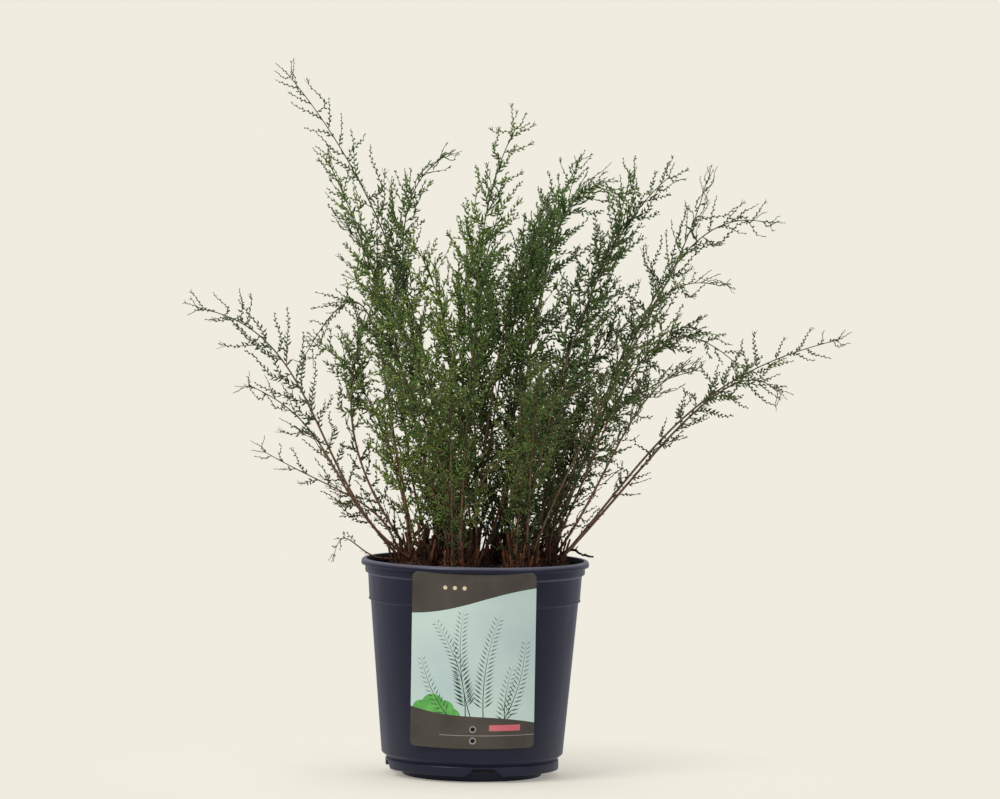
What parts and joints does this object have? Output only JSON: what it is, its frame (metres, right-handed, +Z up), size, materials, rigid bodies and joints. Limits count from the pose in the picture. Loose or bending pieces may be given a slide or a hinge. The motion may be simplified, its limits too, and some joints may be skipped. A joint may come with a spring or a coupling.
{
  "type": "potted male fern",
  "caption": "Male fern with narrow leaflets and many-fingered tips on thin arching stems, standing in a dark plastic nursery pot with a picture label.",
  "frame": {"origin": "on the pot's axis, at the ground, in the middle of the pot's central foot", "axes": "+Z up along the pot's axis, -Y to the front with the label, +X to the right as seen from the front"},
  "size_m": [0.5572, 0.3484, 0.5925],
  "materials": {
    "pot_plastic": "moulded plastic, semi-gloss, dark blue-grey",
    "label_card": "printed stiff plastic card, satin",
    "growing_mix": "peaty growing mix, damp and crumbly",
    "rootstock": "rusty brown papery scales over a woody rootstock",
    "foliage": "fresh green leaflets with a slight sheen on olive-brown stems",
    "dead_stalk": "dry dark brown stalk"
  },
  "bodies": {
    "root": {"crown_back_left": "rootstock", "crown_back_right": "rootstock", "crown_centre": "rootstock", "crown_front_left": "rootstock", "crown_front_right": "rootstock", "crown_left": "rootstock", "crown_right": "rootstock", "frond_inner_01": "foliage", "frond_inner_02": "foliage", "frond_inner_03": "foliage", "frond_inner_04": "foliage", "frond_inner_05": "foliage", "frond_inner_06": "foliage", "frond_inner_07": "foliage", "frond_left_arch": "foliage", "frond_left_back": "foliage", "frond_left_low": "foliage", "frond_left_middle": "foliage", "frond_left_nodding": "foliage", "frond_left_tall": "foliage", "frond_left_upright": "foliage", "frond_low_01": "foliage", "frond_low_02": "foliage", "frond_low_03": "foliage", "frond_low_04": "foliage", "frond_low_05": "foliage", "frond_middle_back": "foliage", "frond_middle_left": "foliage", "frond_middle_right": "foliage", "frond_middle_tall": "foliage", "frond_outer_01": "foliage", "frond_outer_02": "foliage", "frond_outer_03": "foliage", "frond_outer_04": "foliage", "frond_outer_05": "foliage", "frond_outer_06": "foliage", "frond_outer_07": "foliage", "frond_right_arch": "foliage", "frond_right_back": "foliage", "frond_right_far": "foliage", "frond_right_high": "foliage", "frond_right_long": "foliage", "frond_right_low": "foliage", "frond_right_spray": "foliage", "frond_right_tall": "foliage", "frond_right_upright": "foliage", "frond_sprig": "foliage", "frond_upper_left": "foliage", "frond_young_01": "foliage", "frond_young_02": "foliage", "frond_young_03": "foliage", "frond_young_04": "foliage", "frond_young_05": "foliage", "frond_young_06": "foliage", "frond_young_07": "foliage", "frond_young_08": "foliage", "label": "label_card", "pot": "pot_plastic", "soil": "growing_mix", "twig": "dead_stalk"}
  },
  "joints": []
}
